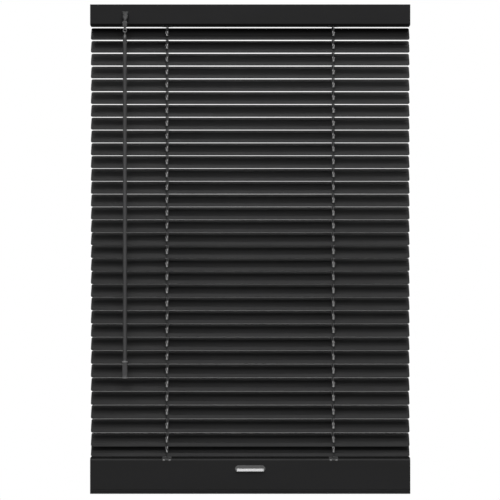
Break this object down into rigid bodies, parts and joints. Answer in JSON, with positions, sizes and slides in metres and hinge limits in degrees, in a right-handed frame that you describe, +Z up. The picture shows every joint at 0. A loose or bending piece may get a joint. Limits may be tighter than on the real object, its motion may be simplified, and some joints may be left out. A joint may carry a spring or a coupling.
{
  "type": "venetian blind",
  "caption": "Cordless horizontal mini blind: head rail, tilt wand, crowned slats on two string ladders, and a bottom rail with a handle and spring motor.",
  "frame": {"origin": "middle of the four ceiling screws, in the plane of the head rail's top", "axes": "+Z up, -Y towards the room, +X to the right seen from the room; the blind hangs below the origin"},
  "size_m": [0.487, 0.0418, 0.7446],
  "materials": {
    "black_rail": "satin black enamel",
    "black_cap": "satin moulded plastic",
    "clip_steel": "galvanised",
    "grey_plastic": "moulded",
    "white_plastic": "moulded acetal",
    "steel": "drawn",
    "smoke_plastic": "gloss smoke grey",
    "slat_black": "satin vinyl",
    "ladder_yarn": "braided polyester",
    "cord_yarn": "braided polyester",
    "foot_black": "satin extrusion",
    "handle_silver": "satin silver",
    "saddle_grey": "translucent grey"
  },
  "bodies": {
    "head": {"head_rail": "black_rail", "head_rail_end_caps": "black_cap", "mounting_clips": "clip_steel", "drum_cradles": "grey_plastic", "tilter_housing": "grey_plastic", "ladder_cords": "ladder_yarn", "lift_cords": "cord_yarn"},
    "tilt_shaft": {"tilt_rod": "steel", "ladder_drums": "white_plastic", "tilter_gear": "white_plastic"},
    "stem": {"tilter_stem": "white_plastic"},
    "hook": {"wand_hook": "steel"},
    "wand": {"wand": "smoke_plastic", "wand_grip": "smoke_plastic"},
    "foot": {"bottom_rail": "foot_black", "bottom_rail_end_caps": "black_cap", "lift_handle": "handle_silver", "ladder_saddles": "saddle_grey", "motor_housing": "grey_plastic"},
    "spool": {"cord_spool": "white_plastic"},
    "spring": {"spring_drum": "white_plastic"},
    "slat_01": {"slat_01": "slat_black"},
    "slat_02": {"slat_02": "slat_black"},
    "slat_03": {"slat_03": "slat_black"},
    "slat_04": {"slat_04": "slat_black"},
    "slat_05": {"slat_05": "slat_black"},
    "slat_06": {"slat_06": "slat_black"},
    "slat_07": {"slat_07": "slat_black"},
    "slat_08": {"slat_08": "slat_black"},
    "slat_09": {"slat_09": "slat_black"},
    "slat_10": {"slat_10": "slat_black"},
    "slat_11": {"slat_11": "slat_black"},
    "slat_12": {"slat_12": "slat_black"},
    "slat_13": {"slat_13": "slat_black"},
    "slat_14": {"slat_14": "slat_black"},
    "slat_15": {"slat_15": "slat_black"},
    "slat_16": {"slat_16": "slat_black"},
    "slat_17": {"slat_17": "slat_black"},
    "slat_18": {"slat_18": "slat_black"},
    "slat_19": {"slat_19": "slat_black"},
    "slat_20": {"slat_20": "slat_black"},
    "slat_21": {"slat_21": "slat_black"},
    "slat_22": {"slat_22": "slat_black"},
    "slat_23": {"slat_23": "slat_black"},
    "slat_24": {"slat_24": "slat_black"},
    "slat_25": {"slat_25": "slat_black"},
    "slat_26": {"slat_26": "slat_black"},
    "slat_27": {"slat_27": "slat_black"},
    "slat_28": {"slat_28": "slat_black"},
    "slat_29": {"slat_29": "slat_black"},
    "slat_30": {"slat_30": "slat_black"},
    "slat_31": {"slat_31": "slat_black"},
    "slat_32": {"slat_32": "slat_black"},
    "slat_33": {"slat_33": "slat_black"},
    "bay_28": {"ladder_bay_28": "ladder_yarn"},
    "bay_29": {"ladder_bay_29": "ladder_yarn"},
    "bay_30": {"ladder_bay_30": "ladder_yarn"},
    "bay_31": {"ladder_bay_31": "ladder_yarn"},
    "bay_32": {"ladder_bay_32": "ladder_yarn"},
    "bay_33": {"ladder_bay_33": "ladder_yarn"}
  },
  "joints": [
    {"name": "tilt", "type": "hinge", "parent": "head", "child": "tilt_shaft", "pos_m": [0, 0, -0.013], "axis": [-1, 0, 0], "range_deg": [-9, 141], "deforming": ["ladder_cords"]},
    {"name": "stem_turn", "type": "hinge", "parent": "head", "child": "stem", "pos_m": [-0.19, -0.00745, -0.00778], "axis": [0, -0.5736, -0.8192], "range_deg": [-145, 2257]},
    {"name": "wand_swing", "type": "hinge", "parent": "head", "child": "hook", "pos_m": [-0.19, -0.02294, -0.0299], "axis": [1, 0, 0], "range_deg": [-60, 0]},
    {"name": "wand_turn", "type": "hinge", "parent": "hook", "child": "wand", "pos_m": [-0.19, -0.02294, -0.06], "axis": [0, 0, -1], "range_deg": [-145, 2257]},
    {"name": "lift", "type": "slide", "parent": "head", "child": "foot", "axis": [0, 0, 1], "range_m": [0, 0.09525], "deforming": ["lift_cords", "ladder_bay_28", "ladder_bay_29", "ladder_bay_30", "ladder_bay_31", "ladder_bay_32", "ladder_bay_33"]},
    {"name": "spool_turn", "type": "hinge", "parent": "foot", "child": "spool", "pos_m": [-0.015, 0, -0.7184], "axis": [0, 1, 0], "range_deg": [-1, 570]},
    {"name": "spring_turn", "type": "hinge", "parent": "foot", "child": "spring", "pos_m": [0.015, 0, -0.7184], "axis": [0, 1, 0], "range_deg": [-456, 1]},
    {"name": "slat_tilt_01", "type": "hinge", "parent": "head", "child": "slat_01", "pos_m": [0, 0, -0.0429], "axis": [-1, 0, 0], "range_deg": [-7.03, 108.67]},
    {"name": "slat_tilt_02", "type": "hinge", "parent": "head", "child": "slat_02", "pos_m": [0, 0, -0.06247], "axis": [-1, 0, 0], "range_deg": [-7.03, 108.67]},
    {"name": "slat_tilt_03", "type": "hinge", "parent": "head", "child": "slat_03", "pos_m": [0, 0, -0.08204], "axis": [-1, 0, 0], "range_deg": [-7.03, 108.67]},
    {"name": "slat_tilt_04", "type": "hinge", "parent": "head", "child": "slat_04", "pos_m": [0, 0, -0.10161], "axis": [-1, 0, 0], "range_deg": [-7.03, 108.67]},
    {"name": "slat_tilt_05", "type": "hinge", "parent": "head", "child": "slat_05", "pos_m": [0, 0, -0.12118], "axis": [-1, 0, 0], "range_deg": [-7.03, 108.67]},
    {"name": "slat_tilt_06", "type": "hinge", "parent": "head", "child": "slat_06", "pos_m": [0, 0, -0.14075], "axis": [-1, 0, 0], "range_deg": [-7.03, 108.67]},
    {"name": "slat_tilt_07", "type": "hinge", "parent": "head", "child": "slat_07", "pos_m": [0, 0, -0.16032], "axis": [-1, 0, 0], "range_deg": [-7.03, 108.67]},
    {"name": "slat_tilt_08", "type": "hinge", "parent": "head", "child": "slat_08", "pos_m": [0, 0, -0.17989], "axis": [-1, 0, 0], "range_deg": [-7.03, 108.67]},
    {"name": "slat_tilt_09", "type": "hinge", "parent": "head", "child": "slat_09", "pos_m": [0, 0, -0.19946], "axis": [-1, 0, 0], "range_deg": [-7.03, 108.67]},
    {"name": "slat_tilt_10", "type": "hinge", "parent": "head", "child": "slat_10", "pos_m": [0, 0, -0.21903], "axis": [-1, 0, 0], "range_deg": [-7.03, 108.67]},
    {"name": "slat_tilt_11", "type": "hinge", "parent": "head", "child": "slat_11", "pos_m": [0, 0, -0.2386], "axis": [-1, 0, 0], "range_deg": [-7.03, 108.67]},
    {"name": "slat_tilt_12", "type": "hinge", "parent": "head", "child": "slat_12", "pos_m": [0, 0, -0.25817], "axis": [-1, 0, 0], "range_deg": [-7.03, 108.67]},
    {"name": "slat_tilt_13", "type": "hinge", "parent": "head", "child": "slat_13", "pos_m": [0, 0, -0.27774], "axis": [-1, 0, 0], "range_deg": [-7.03, 108.67]},
    {"name": "slat_tilt_14", "type": "hinge", "parent": "head", "child": "slat_14", "pos_m": [0, 0, -0.29731], "axis": [-1, 0, 0], "range_deg": [-7.03, 108.67]},
    {"name": "slat_tilt_15", "type": "hinge", "parent": "head", "child": "slat_15", "pos_m": [0, 0, -0.31688], "axis": [-1, 0, 0], "range_deg": [-7.03, 108.67]},
    {"name": "slat_tilt_16", "type": "hinge", "parent": "head", "child": "slat_16", "pos_m": [0, 0, -0.33645], "axis": [-1, 0, 0], "range_deg": [-7.03, 108.67]},
    {"name": "slat_tilt_17", "type": "hinge", "parent": "head", "child": "slat_17", "pos_m": [0, 0, -0.35602], "axis": [-1, 0, 0], "range_deg": [-7.03, 108.67]},
    {"name": "slat_tilt_18", "type": "hinge", "parent": "head", "child": "slat_18", "pos_m": [0, 0, -0.37565], "axis": [-1, 0, 0], "range_deg": [-7.03, 108.67]},
    {"name": "slat_tilt_19", "type": "hinge", "parent": "head", "child": "slat_19", "pos_m": [0, 0, -0.3954], "axis": [-1, 0, 0], "range_deg": [-7.03, 108.67]},
    {"name": "slat_tilt_20", "type": "hinge", "parent": "head", "child": "slat_20", "pos_m": [0, 0, -0.41526], "axis": [-1, 0, 0], "range_deg": [-7.03, 108.67]},
    {"name": "slat_tilt_21", "type": "hinge", "parent": "head", "child": "slat_21", "pos_m": [0, 0, -0.43525], "axis": [-1, 0, 0], "range_deg": [-7.03, 108.67]},
    {"name": "slat_tilt_22", "type": "hinge", "parent": "head", "child": "slat_22", "pos_m": [0, 0, -0.45535], "axis": [-1, 0, 0], "range_deg": [-7.03, 108.67]},
    {"name": "slat_tilt_23", "type": "hinge", "parent": "head", "child": "slat_23", "pos_m": [0, 0, -0.47557], "axis": [-1, 0, 0], "range_deg": [-7.03, 108.67]},
    {"name": "slat_tilt_24", "type": "hinge", "parent": "head", "child": "slat_24", "pos_m": [0, 0, -0.49591], "axis": [-1, 0, 0], "range_deg": [-7.03, 108.67]},
    {"name": "slat_tilt_25", "type": "hinge", "parent": "head", "child": "slat_25", "pos_m": [0, 0, -0.51637], "axis": [-1, 0, 0], "range_deg": [-7.03, 108.67]},
    {"name": "slat_tilt_26", "type": "hinge", "parent": "head", "child": "slat_26", "pos_m": [0, 0, -0.53695], "axis": [-1, 0, 0], "range_deg": [-7.03, 108.67]},
    {"name": "slat_tilt_27", "type": "hinge", "parent": "head", "child": "slat_27", "pos_m": [0, 0, -0.55764], "axis": [-1, 0, 0], "range_deg": [-7.03, 108.67]},
    {"name": "slat_tilt_28", "type": "hinge", "parent": "bay_28", "child": "slat_28", "pos_m": [0, 0, -0.57845], "axis": [-1, 0, 0], "range_deg": [-7.03, 108.67]},
    {"name": "slat_tilt_29", "type": "hinge", "parent": "bay_29", "child": "slat_29", "pos_m": [0, 0, -0.59938], "axis": [-1, 0, 0], "range_deg": [-7.03, 108.67]},
    {"name": "slat_tilt_30", "type": "hinge", "parent": "bay_30", "child": "slat_30", "pos_m": [0, 0, -0.62043], "axis": [-1, 0, 0], "range_deg": [-7.03, 108.67]},
    {"name": "slat_tilt_31", "type": "hinge", "parent": "bay_31", "child": "slat_31", "pos_m": [0, 0, -0.6416], "axis": [-1, 0, 0], "range_deg": [-7.03, 108.67]},
    {"name": "slat_tilt_32", "type": "hinge", "parent": "bay_32", "child": "slat_32", "pos_m": [0, 0, -0.66289], "axis": [-1, 0, 0], "range_deg": [-7.03, 108.67]},
    {"name": "slat_tilt_33", "type": "hinge", "parent": "bay_33", "child": "slat_33", "pos_m": [0, 0, -0.67809], "axis": [-1, 0, 0], "range_deg": [-7.03, 108.67]},
    {"name": "bay_lift_28", "type": "slide", "parent": "head", "child": "bay_28", "axis": [0, 0, 1], "range_m": [0, 0.01671]},
    {"name": "bay_lift_29", "type": "slide", "parent": "head", "child": "bay_29", "axis": [0, 0, 1], "range_m": [0, 0.03345]},
    {"name": "bay_lift_30", "type": "slide", "parent": "head", "child": "bay_30", "axis": [0, 0, 1], "range_m": [0, 0.05029]},
    {"name": "bay_lift_31", "type": "slide", "parent": "head", "child": "bay_31", "axis": [0, 0, 1], "range_m": [0, 0.06726]},
    {"name": "bay_lift_32", "type": "slide", "parent": "head", "child": "bay_32", "axis": [0, 0, 1], "range_m": [0, 0.08435]},
    {"name": "bay_lift_33", "type": "slide", "parent": "head", "child": "bay_33", "axis": [0, 0, 1], "range_m": [0, 0.09535]}
  ],
  "couplings": [
    {"joint": "stem_turn", "follows": "tilt", "ratio": 16},
    {"joint": "wand_turn", "follows": "tilt", "ratio": 16},
    {"joint": "spool_turn", "follows": "lift", "rad_per_m": 104.17},
    {"joint": "spring_turn", "follows": "lift", "rad_per_m": -83.333},
    {"joint": "slat_tilt_01", "follows": "tilt", "ratio": 0.77},
    {"joint": "slat_tilt_02", "follows": "tilt", "ratio": 0.77},
    {"joint": "slat_tilt_03", "follows": "tilt", "ratio": 0.77},
    {"joint": "slat_tilt_04", "follows": "tilt", "ratio": 0.77},
    {"joint": "slat_tilt_05", "follows": "tilt", "ratio": 0.77},
    {"joint": "slat_tilt_06", "follows": "tilt", "ratio": 0.77},
    {"joint": "slat_tilt_07", "follows": "tilt", "ratio": 0.77},
    {"joint": "slat_tilt_08", "follows": "tilt", "ratio": 0.77},
    {"joint": "slat_tilt_09", "follows": "tilt", "ratio": 0.77},
    {"joint": "slat_tilt_10", "follows": "tilt", "ratio": 0.77},
    {"joint": "slat_tilt_11", "follows": "tilt", "ratio": 0.77},
    {"joint": "slat_tilt_12", "follows": "tilt", "ratio": 0.77},
    {"joint": "slat_tilt_13", "follows": "tilt", "ratio": 0.77},
    {"joint": "slat_tilt_14", "follows": "tilt", "ratio": 0.77},
    {"joint": "slat_tilt_15", "follows": "tilt", "ratio": 0.77},
    {"joint": "slat_tilt_16", "follows": "tilt", "ratio": 0.77},
    {"joint": "slat_tilt_17", "follows": "tilt", "ratio": 0.77},
    {"joint": "slat_tilt_18", "follows": "tilt", "ratio": 0.77},
    {"joint": "slat_tilt_19", "follows": "tilt", "ratio": 0.77},
    {"joint": "slat_tilt_20", "follows": "tilt", "ratio": 0.77},
    {"joint": "slat_tilt_21", "follows": "tilt", "ratio": 0.77},
    {"joint": "slat_tilt_22", "follows": "tilt", "ratio": 0.77},
    {"joint": "slat_tilt_23", "follows": "tilt", "ratio": 0.77},
    {"joint": "slat_tilt_24", "follows": "tilt", "ratio": 0.77},
    {"joint": "slat_tilt_25", "follows": "tilt", "ratio": 0.77},
    {"joint": "slat_tilt_26", "follows": "tilt", "ratio": 0.77},
    {"joint": "slat_tilt_27", "follows": "tilt", "ratio": 0.77},
    {"joint": "slat_tilt_28", "follows": "tilt", "ratio": 0.77},
    {"joint": "slat_tilt_29", "follows": "tilt", "ratio": 0.77},
    {"joint": "slat_tilt_30", "follows": "tilt", "ratio": 0.77},
    {"joint": "slat_tilt_31", "follows": "tilt", "ratio": 0.77},
    {"joint": "slat_tilt_32", "follows": "tilt", "ratio": 0.77},
    {"joint": "slat_tilt_33", "follows": "tilt", "ratio": 0.77},
    {"joint": "bay_lift_28", "follows": "lift", "ratio": 0.17442},
    {"joint": "bay_lift_29", "follows": "lift", "ratio": 0.35008},
    {"joint": "bay_lift_30", "follows": "lift", "ratio": 0.52698},
    {"joint": "bay_lift_31", "follows": "lift", "ratio": 0.70513},
    {"joint": "bay_lift_32", "follows": "lift", "ratio": 0.88451},
    {"joint": "bay_lift_33", "follows": "lift", "ratio": 1}
  ]
}
